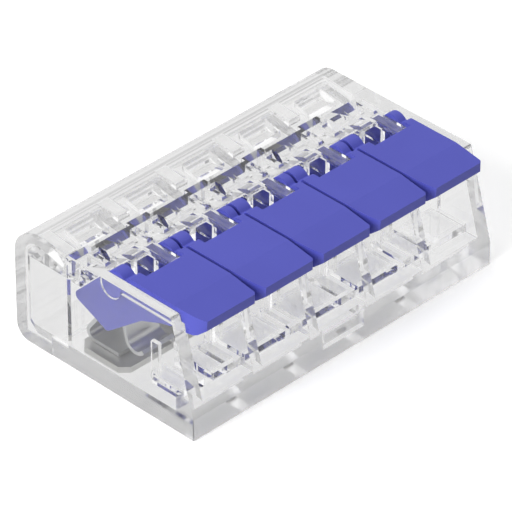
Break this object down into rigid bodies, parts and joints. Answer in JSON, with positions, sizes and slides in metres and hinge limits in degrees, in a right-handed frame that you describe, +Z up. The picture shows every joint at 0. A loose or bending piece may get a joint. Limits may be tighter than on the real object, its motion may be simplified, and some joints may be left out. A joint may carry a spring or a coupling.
{
  "type": "lever splicing connector",
  "caption": "Compact clear wire connector with a row of blue clamping levers over open wire bays, a clipped rear cap, and leaf springs on a common busbar inside.",
  "frame": {"origin": "on the plane of the base, at the centre of the bounding box", "axes": "+X along the row of poles, +Y from the wire side to the rear cap, +Z up out of the levers"},
  "size_m": [0.03, 0.0178, 0.0097],
  "materials": {
    "clear_polycarbonate": "polished, water clear",
    "blue_plastic": "satin moulded",
    "tinned_copper": "satin tin plating",
    "spring_steel": "rolled stainless strip"
  },
  "bodies": {
    "housing": {"front_body": "clear_polycarbonate", "rear_cap": "clear_polycarbonate", "busbar": "tinned_copper", "clamp_spring_1": "spring_steel", "clamp_spring_2": "spring_steel", "clamp_spring_3": "spring_steel", "clamp_spring_4": "spring_steel", "clamp_spring_5": "spring_steel"},
    "lever_1": {"lever_1": "blue_plastic"},
    "lever_2": {"lever_2": "blue_plastic"},
    "lever_3": {"lever_3": "blue_plastic"},
    "lever_4": {"lever_4": "blue_plastic"},
    "lever_5": {"lever_5": "blue_plastic"}
  },
  "joints": [
    {"name": "lever_1_hinge", "type": "hinge", "parent": "housing", "child": "lever_1", "pos_m": [-0.01136, -0.00047, 0.00875], "axis": [-1, 0, 0], "range_deg": [0, 90]},
    {"name": "lever_2_hinge", "type": "hinge", "parent": "housing", "child": "lever_2", "pos_m": [-0.00568, -0.00047, 0.00875], "axis": [-1, 0, 0], "range_deg": [0, 90]},
    {"name": "lever_3_hinge", "type": "hinge", "parent": "housing", "child": "lever_3", "pos_m": [0, -0.00047, 0.00875], "axis": [-1, 0, 0], "range_deg": [0, 90]},
    {"name": "lever_4_hinge", "type": "hinge", "parent": "housing", "child": "lever_4", "pos_m": [0.00568, -0.00047, 0.00875], "axis": [-1, 0, 0], "range_deg": [0, 90]},
    {"name": "lever_5_hinge", "type": "hinge", "parent": "housing", "child": "lever_5", "pos_m": [0.01136, -0.00047, 0.00875], "axis": [-1, 0, 0], "range_deg": [0, 90]}
  ]
}
